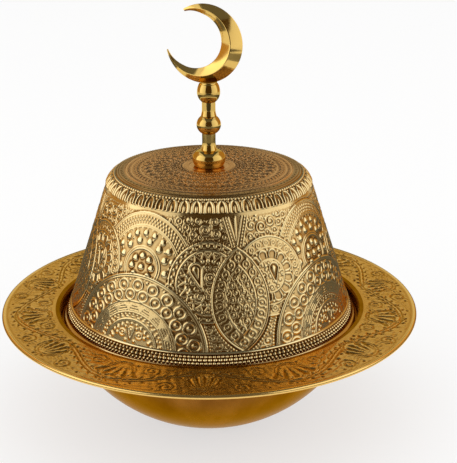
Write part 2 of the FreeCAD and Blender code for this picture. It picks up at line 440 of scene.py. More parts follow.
# The half-round medallion that stands on the ridge. Bands: kind, radius, count, reach, rise,
# and a phase for some. Spots: kind, sideways, up, reach, and a length and tilt for drops and coils.
halfRound = dict(
    angle=-32.4, rise=-0.3, scale=40.5, radius=22.5, level=-0.22,
    bands=[
        ("ridge", 22.1, 0, 0.36, 0.42), ("ridge", 21.4, 0, 0.26, 0.3),
        ("beads", 20.35, 20, 0.5, 0.4, 0.5), ("beads", 20.75, 60, 0.26, 0.24),
        ("eyes", 18.9, 22, 2.3, 0.8), ("eyes", 15.9, 22, 2.1, 0.8, 0.5),
        ("ridge", 13.85, 0, 0.3, 0.4), ("ridge", 13.25, 0, 0.22, 0.28),
        ("blocks", 11.85, 18, 1.15, 0.36), ("ridge", 10.45, 0, 0.26, 0.36),
        ("beads", 9.75, 44, 0.38, 0.34), ("dashes", 9.0, 30, 0.6, 0.3),
        ("ridge", 8.25, 0, 0.28, 0.36), ("ridge", 7.7, 0, 0.2, 0.24),
        ("beads", 6.9, 26, 0.45, 0.38)],
    spots=[("drop", 0, 5.0, 1.1, 3.0, 0)] + bothSides([
        ("eye", 2.8, 3.6, 1.25), ("bead", 4.6, 3.2, 0.5), ("bead", 4.5, 4.6, 0.45), ("bead", 1.9, 5.6, 0.42),
        ("bead", 3.2, 5.6, 0.4), ("bead", 1.4, 1.6, 0.42), ("bead", 6.0, 1.9, 0.5)]))

# The round medallion behind its top, with a flower of pearls
flowerRound = dict(
    angle=-32.4, rise=24.4, scale=38.6, radius=17.3, level=-0.28,
    bands=[
        ("ridge", 17.0, 0, 0.3, 0.38), ("ridge", 16.4, 0, 0.22, 0.26),
        ("bars", 15.55, 76, 0.5, 0.34), ("bars", 14.6, 76, 0.48, 0.34, 0.5),
        ("beads", 13.75, 76, 0.36, 0.3),
        ("ridge", 13.1, 0, 0.26, 0.34), ("ridge", 12.5, 0, 0.22, 0.28),
        ("pearls", 10.7, 19, 1.25, 0.6), ("pearls", 8.3, 13, 1.4, 0.66, 0.5),
        ("beads", 9.5, 22, 0.42, 0.34, 0.25), ("beads", 11.95, 36, 0.3, 0.26, 0.25),
        ("ridge", 6.5, 0, 0.22, 0.3), ("ridge", 5.75, 0, 0.26, 0.38),
        ("pearls", 3.5, 8, 1.36, 0.8), ("pearls", 0.001, 1, 1.36, 0.8)],
    spots=[])

# The two round medallions beside the leaf
brickRound = dict(
    angle=-0.7, rise=21.6, scale=40.4, radius=12.6, level=-0.32,
    bands=[
        ("ridge", 12.2, 0, 0.36, 0.5), ("beads", 11.3, 30, 0.6, 0.46),
        ("dashes", 10.7, 30, 0.75, 0.36, 0.5), ("ridge", 9.75, 0, 0.32, 0.5),
        ("petals", 8.1, 20, 0.95, 0.5), ("beads", 9.1, 20, 0.42, 0.4, 0.5), ("beads", 6.7, 24, 0.55, 0.44)],
    fillRadius=6.1, fillPitch=2.4,
    spots=[
        ("drop", -3.9, 3.9, 2.3, 6.6, 18), ("bead", -0.9, 4.9, 0.6), ("bead", 0.6, 4.9, 0.6),
        ("eye", 0.6, 1.6, 1.9), ("eye", 0.8, -2.6, 1.6), ("coil", -2.4, -4.4, 1.7, 0.9, -1),
        ("bead", -5.2, -2.4, 0.6), ("bead", 3.2, 3.4, 0.6), ("coil", 3.9, 0.2, 1.8, 0.9, 1)])
archRound = dict(
    angle=27.6, rise=22.0, scale=40.4, radius=12.6, level=-0.28,
    bands=[
        ("ridge", 12.2, 0, 0.32, 0.42), ("ridge", 11.55, 0, 0.2, 0.26),
        ("eyes", 10.2, 22, 1.15, 0.6), ("beads", 11.1, 22, 0.34, 0.3, 0.5),
        ("ridge", 8.85, 0, 0.24, 0.34), ("arches", 6.9, 12, 1.62, 0.55, 0.5),
        ("beads", 8.0, 12, 0.5, 0.4), ("ridge", 5.1, 0, 0.26, 0.36)],
    fillRadius=4.8, fillPitch=2.2,
    spots=[
        ("drop", 1.6, 2.2, 1.9, 5.0, 0), ("bead", -1.2, 3.2, 0.6), ("eye", -2.2, 0.4, 1.3)])

# The tall leaf between them. Its bands count in from its edge, and their beads have a pitch.
tallLeaf = dict(
    angle=13.0, rise=16.0, scale=42.3, halfHeight=16.2, halfWidth=9.4, level=-0.28,
    edges=[("ridge", 0.32, 0, 0.34, 0.46), ("ridge", 0.95, 0, 0.2, 0.24),
           ("eyes", 2.7, 3.35, 1.5, 0.6, 0.5), ("beads", 1.55, 3.35, 0.46, 0.4),
           ("beads", 3.85, 3.35, 0.46, 0.4), ("ridge", 4.65, 0, 0.28, 0.46)],
    heartInset=4.9, curlPitch=2.6, stemStep=3.2, stemSwing=1.0)

# Scrolls, eyes and beads on the ground above: angle, rise, reach. Coils also have a pitch and a hand.
wallSpots = dict(
    coil=[(-2.0, 37.6, 2.1, 0.9, 1), (3.4, 36.4, 1.7, 0.85, -1), (7.8, 39.0, 1.6, 0.8, 1),
          (-5.8, 40.2, 1.3, 0.8, -1), (2.6, 40.0, 1.5, 0.8, 1), (21.0, 38.2, 1.8, 0.9, -1),
          (26.4, 37.4, 2.2, 0.95, 1), (32.0, 38.6, 1.8, 0.9, -1), (36.8, 40.4, 1.3, 0.8, 1),
          (-10.2, 40.6, 1.1, 0.75, 1), (7.4, 35.2, 1.2, 0.75, -1), (20.0, 34.8, 1.3, 0.75, 1)],
    eye=[(-15.4, 40.0, 1.3), (-11.6, 38.2, 1.35), (-7.8, 36.2, 1.35), (-5.6, 38.0, 0.9), (0.6, 34.9, 0.9),
         (33.8, 35.6, 1.3), (37.0, 37.8, 1.3), (29.4, 35.4, 1.2), (23.4, 35.0, 1.1), (40.6, 39.6, 1.3)],
    bead=[(0.8, 38.8, 0.5), (5.6, 38.0, 0.5), (-3.8, 35.4, 0.5), (5.2, 40.4, 0.5), (23.8, 39.6, 0.55),
          (29.4, 39.6, 0.55), (34.6, 40.4, 0.5), (24.0, 41.0, 0.5)])


# Place in the leaf, radius of its edge, and distance and angle from the middle of that edge's circle
def leafPlace(angle, rise):
    x = np.radians(angle - tallLeaf["angle"]) * tallLeaf["scale"]
    y = rise - tallLeaf["rise"]
    arcRadius = (tallLeaf["halfHeight"]**2 + tallLeaf["halfWidth"]**2) / (2 * tallLeaf["halfWidth"])
    outward = np.abs(x) + arcRadius - tallLeaf["halfWidth"]
    return x, y, arcRadius, np.hypot(outward, y), np.arctan2(y, outward)


# One spot of ornament, laid on the height round it. A coil's length is its pitch, and its tilt its hand.
def laySpot(height, x, y, floor, kind, reach, length=0, tilt=0):
    away = np.hypot(x, y)
    if kind == "bead":
        return np.where(away < reach, floor + 0.5 * ball(away, reach), height)
    if kind == "eye":
        return np.where(away < reach, floor + 0.12 + 0.5 * eye(away, reach), height)
    if kind == "coil":
        scroll = np.maximum(coil(x, y, reach, length, 0.2, tilt), 1.15 * ball(away, 0.42))
        return np.where(away < reach + 0.2, floor + 0.46 * scroll, height)
    lean = radians(tilt)
    along = -y * cos(lean) + x * sin(lean)
    across = x * cos(lean) + y * sin(lean)
    edge = dropEdge(across, along, reach, 0.2, length)
    relief = np.maximum(0.62 * dome(edge + 0.25, 0.36), 0.6 * ball(edge + reach, 0.45 * reach))
    return np.where(edge < 0.15, floor - 0.16 + relief, height)


# Groove just outside an edge
def edgeGroove(rho, edge):
    return lidWall["groove"] * dome(rho - edge - lidWall["grooveGap"], lidWall["grooveReach"])


# A medallion of bands and spots, with a groove round it
def layMedallion(height, angle, rise, medallion, shift=0):
    x = np.radians(angle - medallion["angle"] - shift) * medallion["scale"]
    y = rise - medallion["rise"]
    rho = np.hypot(x, y)
    floor = medallion["level"]
    relief = floor + bandRelief(rho, np.arctan2(x, y), medallion["bands"])
    if "fillRadius" in medallion:
        fill = floor + lidWall["curlRise"] * curlField(x, y, medallion["fillPitch"])
        relief = np.where(rho < medallion["fillRadius"], fill, relief)
    for kind, sideways, up, *shape in medallion["spots"]:
        relief = laySpot(relief, x - sideways, y - up, floor, kind, *shape)
    return np.where(rho < medallion["radius"], relief, height - edgeGroove(rho, medallion["radius"]))


# The tall leaf: rings of eyes along its edge, and a stem that winds between curls in its heart
def layLeaf(height, angle, rise):
    x, y, arcRadius, rho, phi = leafPlace(angle, rise)
    bands = []
    for kind, inset, pitch, reach, up, *phase in tallLeaf["edges"]:
        at = arcRadius - inset
        bands.append((kind, at, fullTurn * at / pitch if pitch else 0, reach, up, *phase))
    leaf = bandRelief(rho, phi, bands)
    heart = 0.46 * dome(x + tallLeaf["stemSwing"] * np.cos(pi * y / tallLeaf["stemStep"]), 0.3)
    heart = np.maximum(heart, 0.42 * curlField(x, y, tallLeaf["curlPitch"]))
    leaf = np.where(rho < arcRadius - tallLeaf["heartInset"], heart, leaf)
    return np.where(rho < arcRadius, tallLeaf["level"] + leaf, height - edgeGroove(rho, arcRadius))


# Chain of beads just outside an edge, where rho counts out to it and phi along it
def layChain(height, rho, phi, edge):
    at = edge + lidWall["chainGap"]
    away = np.hypot(*ringSpots(rho, phi, at, fullTurn * at / lidWall["chainPitch"]))
    chain = lidWall["ground"] + 0.4 * ball(away, lidWall["chainReach"])
    return np.where((rho > edge) & (rho < edge + lidWall["chainWidth"]), chain, height)


# The slim leaf that hangs from the shoulder: a vein, two edges, a chain and a border
def laySlimLeaf(height, x, y):
    edge = np.abs(x) - lidWall["slimSpread"] * np.clip(y, 0, None)
    leaf = np.maximum(dome(edge, 0.3), dome(x, 0.26))
    chain = ball(np.hypot(edge - 0.9, wrapped(y)), 0.44)
    outside = np.maximum(chain, dome(edge - 1.65, 0.26))
    relief = lidWall["ground"] + 0.46 * np.where(edge < 0.35, leaf, outside)
    return np.where((y > -0.2) & (edge < 1.9), relief, height)


# Ornament of one repeat: angle is in degrees, rise is up the wall
def wallRelief(angle, rise):
    radius = wallOutline(rise)[0][..., 0]
    ground = lidWall["ground"]
    bothEnds = (0, 360 / lidWall["units"])

    # Close curls on the ground, then scrolls and eyes, the slim leaf and the chains
    leafTurn = np.radians(angle - tallLeaf["angle"])
    curls = curlField(leafTurn * lidWall["curlRadius"], rise, lidWall["curlPitch"])
    height = ground + lidWall["curlRise"] * curls
    for kind, spots in wallSpots.items():
        for atAngle, atRise, *shape in spots:
            x = np.radians(angle - atAngle) * radius
            height = laySpot(height, x, rise - atRise, ground, kind, *shape)
    height = laySlimLeaf(height, leafTurn * radius, rise - lidWall["slimFoot"])
    for shift in bothEnds:
        x = np.radians(angle - halfRound["angle"] - shift) * halfRound["scale"]
        y = rise - halfRound["rise"]
        height = layChain(height, np.hypot(x, y), np.arctan2(x, y), halfRound["radius"])
    arcRadius, rho, phi = leafPlace(angle, rise)[2:]
    height = np.where(rise < lidWall["chainTop"], layChain(height, rho, phi, arcRadius), height)
    smooth = np.clip((rise - lidWall["plainFrom"]) / lidWall["plainFade"], 0, 1)
    height = height * (1 - smooth) + (ground + lidWall["plainLift"]) * smooth

    # Medallions, each laid over the one before
    for shift in bothEnds:
        height = layMedallion(height, angle, rise, flowerRound, shift)
    height = layMedallion(height, angle, rise, brickRound)
    height = layMedallion(height, angle, rise, archRound)
    height = layLeaf(height, angle, rise)
    for shift in bothEnds:
        height = layMedallion(height, angle, rise, halfRound, shift)
    return height


def lidWallPanels():
    rise = np.linspace(lidWall["startRise"], lidWall["endRise"], lidWall["rows"])
    width = 360 / lidWall["units"]
    angle = np.linspace(lidWall["unitStart"], lidWall["unitStart"] + width, lidWall["columns"])
    height = soften(wallRelief(*np.meshgrid(angle, rise)))
    tone = toneOf(height, wrap=False, gain=lidWall["toneGain"])
    height = lidWall["reliefShare"] * height
    outline, outward = wallOutline(rise)
    normals = np.repeat(outward[None], len(rise), axis=0)
    back = outline[[-1, 0]] - lidWall["thickness"] * outward
    for unit in range(lidWall["units"]):
        turn = np.radians(angle) + radians(width * unit)
        name = "lidWall%d" % (unit + 1)
        lidRelief(chasedGold, name, outline, normals, height, back, tone, turn, False)


lidWallPanels()
print("lid wall done")


# Shoulder of the lid: a row of arches under a ring of beads. Ridges: rise along it, reach, height.
shoulder = dict(
    centre=(27.79, 80.0), round=6.5, backPoints=7, startAngle=17.8, arches=54, archFoot=0.35,
    archHeight=3.7, archHalf=1.4, beads=176, beadRadius=0.52, beadAngle=59.5, floor=-0.16, reliefShare=0.7,
    toneGain=1.9, brownFrom=5.2, brownFade=0.4, marks=96, markRise=7.3,
    ridges=((0.1, 0.3, 0.3), (5.75, 0.3, 0.3), (6.6, 0.26, 0.26)), columns=1201, rows=56)


def lidShoulder():
    turn = np.radians(np.linspace(shoulder["startAngle"], 90, shoulder["rows"]))
    normals = np.stack([np.cos(turn), np.sin(turn)], axis=-1)
    outline = np.array(shoulder["centre"]) + shoulder["round"] * normals
    angle = np.linspace(0, fullTurn, shoulder["columns"])
    angles, rises = np.meshgrid(angle, (turn - turn[0]) * shoulder["round"])

    def spotsRound(count, phase=0):
        return ringSpots(rises, angles, outline[:, :1], count, phase)[0]

    floor = shoulder["floor"]
    x = spotsRound(shoulder["arches"])
    y = rises - shoulder["archFoot"]
    reach = shoulder["archHeight"]
    flare = shoulder["archHalf"] * np.sqrt(np.clip(1 - np.clip(y / reach, 0, 1)**3, 0, 1))
    arch = dome(np.maximum(np.abs(x) - flare, 0.7 * (flare - np.abs(x))), 0.4) * (y > -0.1) * (y < reach)
    tongue = 0.8 * ball(np.hypot(x / 0.4, (y - 0.8) / 1.3), 1)
    height = floor + 0.6 * np.maximum(arch, tongue)
    dots = np.hypot(spotsRound(shoulder["arches"], 0.5), y - 0.92 * reach)
    height = np.maximum(height, floor + 0.4 * ball(dots, 0.45))
    beadRise = radians(shoulder["beadAngle"] - shoulder["startAngle"]) * shoulder["round"]
    beads = np.hypot(spotsRound(shoulder["beads"]), rises - beadRise)
    height = np.maximum(height, floor + 0.55 * ball(beads, shoulder["beadRadius"]))
    for at, half, up in shoulder["ridges"]:
        height = np.maximum(height, floor + up * dome(rises - at, half))
    marks = np.hypot(spotsRound(shoulder["marks"]) / 0.6, rises - shoulder["markRise"])
    height = soften(np.maximum(height, floor + 0.2 * ball(marks, 0.5)))
    height[:, -1] = height[:, 0]

    # The upper part is browner, like the lid's top
    tone = toneOf(height, gain=shoulder["toneGain"])
    brown = np.clip((rises - shoulder["brownFrom"]) / shoulder["brownFade"], 0, 1)
    tone = tone + brown * (0.14 + 0.3 * tone - tone)
    inner = shoulder["round"] - lidWall["thickness"]
    back = arcSpots(shoulder["centre"], inner, 90, shoulder["startAngle"], shoulder["backPoints"])
    height = shoulder["reliefShare"] * height
    lidRelief(chasedGold, "lidShoulder", outline, normals, height, back, tone, angle)


lidShoulder()
print("lid shoulder done")


# Flat top of the lid: rings of ornament round a field of scrolls, and a plain pad under the finial
lidTop = dict(
    height=86.5, crown=0.9, padRadius=5.15, boreRadius=1.4, edgeRadius=27.79, innerRadius=4.2, thickness=1.2,
    curls=34, curlRadius=18.0, curlRise=0.26, fieldInner=8.8, fieldOuter=22.2, plainRadius=6.6, sunk=0.14,
    columns=841, rows=104, bands=[
        ("ridge", 27.2, 0, 0.36, 0.24), ("beads", 26.3, 150, 0.4, 0.16), ("ridge", 25.5, 0, 0.26, 0.2),
        ("dashes", 24.5, 84, 0.7, 0.24), ("beads", 23.5, 84, 0.6, 0.24, 0.5), ("ridge", 22.5, 0, 0.26, 0.18),
        ("ridge", 8.6, 0, 0.3, 0.18)])


def lidTopDisc():
    radius = np.linspace(lidTop["edgeRadius"], lidTop["innerRadius"], lidTop["rows"])
    run = lidTop["edgeRadius"] - lidTop["padRadius"]
    crownRadius = (run**2 + lidTop["crown"]**2) / (2 * lidTop["crown"])
    reach = np.clip(radius - lidTop["padRadius"], 0, None)
    level = lidTop["height"] + lidTop["crown"] - crownRadius + np.sqrt(crownRadius**2 - reach**2)
    outline = np.stack([radius, level], axis=-1)
    normals = np.stack([np.zeros_like(radius), np.ones_like(radius)], axis=-1)
    angle = np.linspace(0, fullTurn, lidTop["columns"])
    phi, rho = np.meshgrid(angle, radius)
    pitch = fullTurn * lidTop["curlRadius"] / lidTop["curls"]
    curls = lidTop["curlRise"] * curlField(phi * lidTop["curlRadius"], rho, pitch)
    field = (rho < lidTop["fieldOuter"]) & (rho > lidTop["fieldInner"])
    height = np.where(field, curls, bandRelief(rho, phi, lidTop["bands"])) - lidTop["sunk"]
    height = np.where(rho < lidTop["plainRadius"], 0, height)
    under = lidTop["height"] - lidTop["thickness"]
    back = [(lidTop["boreRadius"], level[-1]), (lidTop["boreRadius"], under), (lidTop["edgeRadius"], under)]
    lidRelief(topGold, "lidTop", outline, normals, height, back, toneOf(height, gain=1.0), angle)


lidTopDisc()
print("lid top done")


# Foot of the lid: a rolled edge, rows of beads and a ridge under the wall. Roll: centre, radius, two angles,
# points. Rows: rise, count, reach, height.
lidFoot = dict(
    roll=((48.82, 36.3), 0.9, -90, 84, 14), cove=[(48.62, 37.32), (48.36, 37.58), (48.2, 37.88)],
    lowRise=-3.5, sunk=0.14, sunkFade=0.4, ridgeRise=0.45, ridgeReach=0.55, ringRadius=47.5, columns=1441,
    rows=29, beadRows=[(-1.0, 230, 0.55, 0.4), (-2.05, 190, 0.68, 0.5), (-3.05, 230, 0.55, 0.4)])


def lidFootRing():
    edge = arcSpots(*lidFoot["roll"]) + lidFoot["cove"]
    rise = np.linspace(lidFoot["lowRise"], lidWall["startRise"], lidFoot["rows"])
    wall, outward = wallOutline(rise)
    outline = np.vstack([edge, wall])
    tangent = np.gradient(outline, axis=0)
    tangent /= np.linalg.norm(tangent, axis=1, keepdims=True)
    normals = np.stack([tangent[:, 1], -tangent[:, 0]], axis=-1)
    angle = np.linspace(0, fullTurn, lidFoot["columns"])
    angles, rises = np.meshgrid(angle, rise)
    height = -lidFoot["sunk"] * np.clip((rises - lidFoot["lowRise"]) / lidFoot["sunkFade"], 0, 1)
    height = height + lidFoot["ridgeRise"] * dome(rises, lidFoot["ridgeReach"])
    for atRise, count, reach, up in lidFoot["beadRows"]:
        away = np.hypot(ringSpots(rises, angles, lidFoot["ringRadius"], count)[0], rises - atRise)
        bead = np.where(away < reach, up * dome(away, reach) - lidFoot["sunk"], -np.inf)
        height = np.maximum(height, bead)
    height = np.vstack([np.zeros((len(edge), len(angle))), height])
    thickness = lidWall["thickness"]
    top = outline[-1] - thickness * outward
    seat = (wallRadius(lidWall["seat"]) - thickness / outward[0], lidWall["seat"])
    lidRelief(chasedGold, "lidFoot", outline, normals, height, [top, seat], toneOf(height), angle)


lidFootRing()
print("lid foot done")


# Dish: the bowl with its seat, and the sizes of the flange with its rounded lip
dish = dict(
    radius=70.0, height=39.4, bowlRadius=54.0, wall=1.8, baseRadius=16.0, flangeTop=39.25, flangeUnder=38.25,
    lipRadius=0.65, wellRadius=50.62, mouthRound=0.7, seat=35.4, ledgeRadius=46.82, ledgeUnder=33.8,
    ledgeSlope=3.5, baseEase=0.4, seatEase=0.3, ledgeEase=0.25, floorEase=0.5, steps=192, outerPoints=44,
    innerPoints=40, mouthPoints=8, lipPoints=15)
bowlLevel = sqrt(dish["bowlRadius"]**2 - dish["baseRadius"]**2)


def bowlSpot(radius, height):
    return (sqrt(radius**2 - (bowlLevel - height)**2), height)


def bowlArc(radius, start, end, count):
    turns = [degrees(atan2(spot[1] - bowlLevel, spot[0])) for spot in (start, end)]
    return arcSpots((0, bowlLevel), radius, *turns, count)


def dishBowl():
    inner = dish["bowlRadius"] - dish["wall"]
    base = dish["baseRadius"]
    well = dish["wellRadius"]
    ledge = dish["ledgeRadius"]
    seat = dish["seat"]
    ease = dish["mouthRound"]
    underCorner = bowlSpot(dish["bowlRadius"], dish["flangeUnder"])
    innerTop = bowlSpot(inner, dish["ledgeUnder"] - dish["ledgeSlope"])
    floorEdge = bowlSpot(inner, dish["wall"])
    outline = [(axisGap, 0), (base - dish["baseEase"], 0)]
    outline += bowlArc(dish["bowlRadius"], (base, 0), underCorner, dish["outerPoints"])
    outline += [(underCorner[0], dish["flangeTop"])]
    outline += arcSpots((well + ease, dish["flangeTop"] - ease), ease, 90, 180, dish["mouthPoints"])
    outline += [(well, seat + dish["seatEase"]), (well - dish["seatEase"], seat)]
    outline += [(ledge + dish["ledgeEase"], seat), (ledge, seat - dish["ledgeEase"])]
    outline += [(ledge, dish["ledgeUnder"])]
    outline += bowlArc(inner, innerTop, floorEdge, dish["innerPoints"])
    outline += [(floorEdge[0] - dish["floorEase"], dish["wall"]), (axisGap, dish["wall"])]
    piece = spunPiece("dishBowl", outline, dish["steps"])
    settle(piece, "dish", "serving_dish", dishGold)


dishBowl()
print("dish bowl done")


# Flange: a winding stem, with clusters of strokes under double arches in its bends. A phase is a share of
# one repeat. Arches: phase, radius. Strokes: phase, radius, way, tilts, start, length, reach.
# Coils: phase, radius, hand. Marks: radius, count, reach.
flange = dict(
    motifs=7, start=-27.3, inner=53.4, outer=68.2, depth=0.24, mottle=0.07, toneGain=2.3, columns=281,
    rows=98, lipGap=0.25, underGap=0.2, stemRadius=60.4, stemSwing=4.6, stemHalf=0.6, lineReach=0.36,
    leafPitch=16, leafGap=1.7, arches=((0, 59.8), (0.5, 60.6)), archRim=5.3, archGap=1.0, archClear=5.6,
    strokes=((0.5, 68.8, -1, (-30, -15, 0, 15, 30), 4.2, 6.6, 0.95),
             (0, 52.0, 1, (-30, -15, 0, 15, 30), 4.2, 6.6, 0.95),
             (0, 55.0, -1, (-75, -30, 30, 75), 0.5, 1.8, 0.5),
             (0.5, 65.8, 1, (-75, -25, 25, 75), 0.5, 1.8, 0.5)),
    coils=((0.19, 56.2, 1), (0.81, 56.2, -1), (0.31, 65.0, -1), (0.69, 65.0, 1)), coilReach=2.9,
    coilPitch=1.6, marks=((66.9, 7, 0.5), (54.6, 9, 0.6)), finePitch=1.05)


# Engraving of one repeat: share runs from 0 to 1 along it, rho is the distance from the middle
def flangeCut(share, rho):
    step = fullTurn / flange["motifs"]
    stemRadius = flange["stemRadius"]

    def near(phase, at):
        return wrapped(share - phase) * step * at, rho - at

    # The stem's two lines
    wave = stemRadius + flange["stemSwing"] * np.cos(fullTurn * share)
    lean = fullTurn * flange["stemSwing"] / (step * stemRadius) * np.sin(fullTurn * share)
    off = (rho - wave) / np.hypot(1, lean)
    half = flange["stemHalf"]
    reach = flange["lineReach"]
    cut = 0.9 * np.maximum(dome(off - half, reach), dome(off + half, reach))

    # Double arches that stop the stem, and strokes under them
    for phase, at in flange["arches"]:
        x, y = near(phase, at)
        away = np.hypot(x / 0.85, y) - flange["archRim"]
        rims = np.maximum(dome(away, 0.4), dome(away - flange["archGap"], 0.34))
        cut = np.where(away < flange["archClear"] - flange["archRim"], 0, cut)
        cut = np.maximum(cut, 0.7 * rims)
    for phase, at, way, tilts, start, length, reach in flange["strokes"]:
        x, y = near(phase, at)
        for tilt in np.radians(tilts):
            along = way * y * cos(tilt) + x * sin(tilt)
            across = x * cos(tilt) - way * y * sin(tilt)
            edge = dropEdge(across, start + length - along, reach, 0.12, length)
            cut = np.maximum(cut, np.clip(-edge / 0.42, 0, 1))

    # Leaves on both sides of the stem
    pitch = step * stemRadius / flange["leafPitch"]
    for side, phase in ((1, 0), (-1, 0.5)):
        place = wrapped(share * flange["leafPitch"] - phase) * pitch
        y = side * off - flange["leafGap"]
        leaf = dropEdge(0.7 * place - 0.7 * y, 0.7 * place + 0.7 * y + 0.5, 0.5, 0.1, 1.3)
        cut = np.maximum(cut, 0.85 * np.clip(-leaf / 0.25, 0, 1))

    # Coils in the wide parts, small marks along both edges, and fine lines that follow the stem
    for phase, at, hand in flange["coils"]:
        x, y = near(phase, at)
        cut = np.maximum(cut, 0.6 * coil(x, y, flange["coilReach"], flange["coilPitch"], 0.42, hand))
    for at, count, reach in flange["marks"]:
        away = np.hypot(wrapped(share * count + 0.25) * step * at / count, rho - at)
        cut = np.maximum(cut, 0.8 * dome(away, reach))
    fade = np.clip(np.abs(off) / 2 - 1.1, 0, 1) * np.clip(np.sin(fullTurn * share * 5 + rho) + 0.4, 0, 1)
    fine = dome(wrapped(off / flange["finePitch"]) * flange["finePitch"], 0.24)
    cut = np.maximum(cut, 0.4 * fade * fine)
    cut = np.where((rho > flange["inner"]) & (rho < flange["outer"]), cut, 0)
    return np.maximum(cut, 0.25 * dome(rho - flange["outer"], 0.3))


def dishFlange():
    corner = bowlSpot(dish["bowlRadius"], dish["flangeUnder"])
    lipCentre = (dish["radius"] - dish["lipRadius"], dish["height"] - dish["lipRadius"])
    half = (dish["flangeTop"] - dish["flangeUnder"]) / 2
    lipAngle = 180 - degrees(asin(half / dish["lipRadius"]))
    lip = arcSpots(lipCentre, dish["lipRadius"], -lipAngle, lipAngle, dish["lipPoints"])
    top = np.linspace(lip[-1][0] - flange["lipGap"], corner[0], flange["rows"])
    share, rho = np.meshgrid(np.linspace(0, 1, flange["columns"]), top)
    cut = flange["depth"] * soften(flangeCut(share, rho))
    swell = np.sin(fullTurn * share * 13 + 1.1 * rho) * np.sin(1.7 * rho - 14 * pi * share)
    inward = np.clip(np.minimum(rho - corner[0], top[0] - rho) / 2, 0, 1)
    height = flange["mottle"] * swell * inward - cut

    # The lip is plain, with a painted highlight: its tone is set to the palest stop
    lipRows = (len(lip), flange["columns"])
    tone = np.vstack([np.ones(lipRows), toneOf(-cut, wrap=False, gain=flange["toneGain"])])
    height = np.vstack([np.zeros(lipRows), height])
    outline = np.vstack([lip, np.stack([top, np.full_like(top, dish["flangeTop"])], axis=-1)])
    normals = np.repeat([[0, 1]], len(outline), axis=0)
    back = [corner, (lip[0][0] - flange["underGap"], dish["flangeUnder"])]
    rows = len(outline)
    corners = (rows - 1, rows, rows + 1)
    step = fullTurn / flange["motifs"]
    for motif in range(flange["motifs"]):
        turn = radians(flange["start"]) + step * (motif + share[0])
        name = "dishFlange%d" % (motif + 1)
        panel = reliefGrid(name, outline, normals, height, back, tone, turn, False, corners)
        settle(panel, "dish", "serving_dish", engravedGold)


dishFlange()
print("dish flange done")


# Finial: turned pieces stacked on the lid's top. Necks: bottom, height. Balls: bottom, height, height and
# radius of the widest place, radius at the foot and at the top, points below and above.
finial = dict(
    bore=1.4, neckRadius=2.2, neckFlare=0.35, neckRim=0.3, neckPoints=10, neckSteps=72, ballSteps=96,
    pieces=[("finialBaseDome", "finial_base_dome", (87.5, 5.3, 2.5, 5.45, 4.75, 2.55, 16, 26)),
            ("finialLowerNeck", "finial_lower_neck", (92.8, 5.45)),
            ("finialUpperNeck", "finial_upper_neck", (104.11, 4.58)),
            ("finialLowerBall", "finial_lower_ball", (98.25, 5.86, 2.93, 3.98, 2.2, 2.2, 20, 20)),
            ("finialUpperBall", "finial_upper_ball", (108.69, 5.85, 3.1, 3.75, 2.2, 3.1, 20, 20))],
    stud=dict(radius=1.25, tail=80.9, tipRadius=0.9, bevel=0.1, lead=0.35, thread=0.5, threadSteps=6,
              threadDepth=0.16, threadTop=85.3, runOut=0.8, columns=49, collarBottom=114.54,
              collarHeight=1.0, collarRadius=3.1, collarPoints=13, waist=0.3))


def neckOutline(bottom, height):
    waist = finial["neckRadius"]
    top = bottom + height
    outline = [(finial["bore"], bottom)]
    for share in np.linspace(0, 1, finial["neckPoints"]):
        outline.append((waist + finial["neckFlare"] * (1 - share)**2, bottom + height * 0.5 * share))
    return outline + [(waist, top - finial["neckRim"]), (waist, top), (finial["bore"], top)]


def ballOutline(bottom, height, widestHeight, radius, footRadius, topRadius, pointsBelow, pointsAbove):
    widest = (radius, bottom + widestHeight)
    top = bottom + height
    outline = [(finial["bore"], bottom)] + swellSpots((footRadius, bottom), widest, pointsBelow)
    return outline + swellSpots((topRadius, top), widest, pointsAbove)[-2::-1] + [(finial["bore"], top)]


def finialPieces():
    for name, node, sizes in finial["pieces"]:
        if "Neck" in name:
            piece = spunPiece(name, neckOutline(*sizes), finial["neckSteps"])
        else:
            piece = spunPiece(name, ballOutline(*sizes), finial["ballSteps"])
        settle(piece, "lid", node, shadedTurnedGold)


# Stud: a threaded tail, a plain shank and the waisted collar that carries the crescent
def finialStud():
    spec = finial["stud"]
    tail = spec["tail"]
    bottom = spec["collarBottom"]
    radius = spec["radius"]
    threads = np.arange(tail + spec["lead"], spec["threadTop"], spec["thread"] / spec["threadSteps"])
    tipRadius = spec["tipRadius"]
    tip = [(axisGap, tail), (tipRadius, tail), (tipRadius + spec["bevel"], tail + spec["bevel"])]
    shank = [(radius, spec["threadTop"] + 0.2), (radius, bottom)]
    collar = []
    for share in np.linspace(0, 1, spec["collarPoints"]):
        hollow = spec["waist"] * sin(pi * share)**0.8
        collar.append((spec["collarRadius"] - hollow, bottom + spec["collarHeight"] * share))
    thread = [(radius, level) for level in threads]
    outline = np.array(tip + thread + shank + collar + [(axisGap, bottom + spec["collarHeight"])])
    turn = np.linspace(0, fullTurn, spec["columns"])
    fade = np.minimum(1, (threads[:, None] - tail) / spec["runOut"])
    depth = 2 * spec["threadDepth"] * np.abs(wrapped(threads[:, None] / spec["thread"] - turn / fullTurn))
    height = np.zeros((len(outline), len(turn)))
    end = len(tip) + len(thread)
    height[len(tip):end] = -depth * fade - spec["bevel"] * (1 - fade)
    normals = np.repeat([[1, 0]], len(outline), axis=0)
    rows = len(outline)
    corners = (0, 1, 2, end + 1, end + 2, end + 1 + spec["collarPoints"], rows - 1, rows)
    piece = reliefGrid("finialStud", outline, normals, height, [], None, turn, True, corners)
    settle(piece, "lid", "finial_stud", shadedTurnedGold)


finialPieces()
finialStud()
print("finial done")


